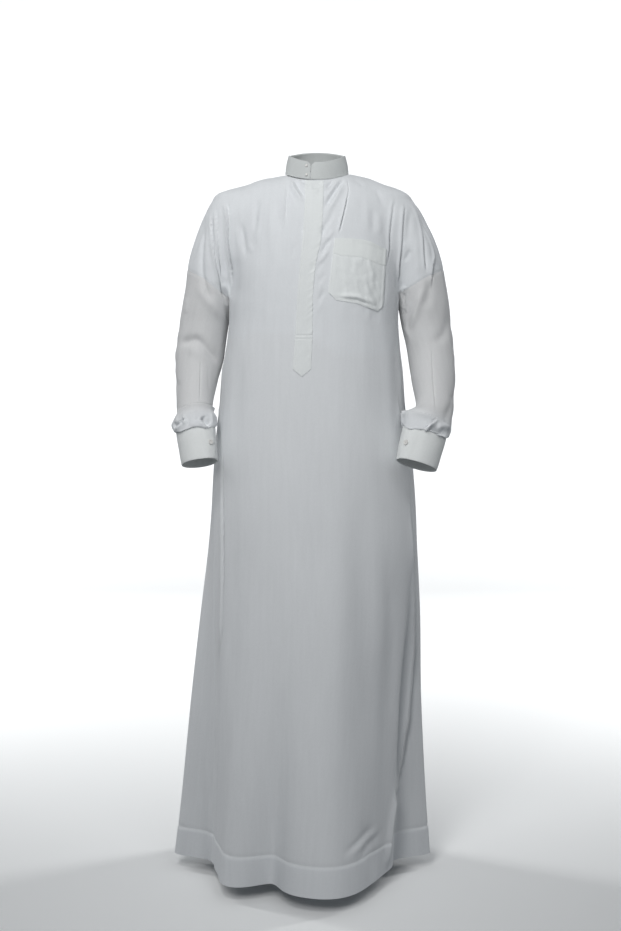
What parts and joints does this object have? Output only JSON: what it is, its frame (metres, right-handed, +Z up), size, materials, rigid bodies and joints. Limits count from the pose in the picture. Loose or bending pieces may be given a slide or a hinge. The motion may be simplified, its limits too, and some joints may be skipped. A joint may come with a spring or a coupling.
{
  "type": "thobe robe, worn form",
  "caption": "Ankle-length white robe with a stand collar, covered front placket, chest pocket and buttoned cuffs, hollow in its worn form.",
  "frame": {"origin": "middle of the neck opening at the collar seam, where the wearer's neck and shoulders hold the robe", "axes": "+Z up, +X to the wearer's left, the wearer faces -Y"},
  "size_m": [0.5744, 0.4406, 1.4462],
  "materials": {
    "robe_cloth": "matte smooth poplin",
    "stiffened_cloth": "matte pressed poplin over interlining",
    "pearl_button": "satin pearl white"
  },
  "bodies": {
    "root": {"front_panel": "robe_cloth", "back_panel": "robe_cloth", "side_panel_right": "robe_cloth", "side_panel_left": "robe_cloth", "sleeve_right": "robe_cloth", "sleeve_left": "robe_cloth", "cuff_right": "stiffened_cloth", "cuff_left": "stiffened_cloth", "collar_band": "stiffened_cloth", "front_placket": "robe_cloth", "chest_pocket": "robe_cloth", "collar_stud_upper": "pearl_button", "collar_stud_lower": "pearl_button", "cuff_button_right": "pearl_button", "cuff_button_left": "pearl_button"}
  },
  "joints": []
}
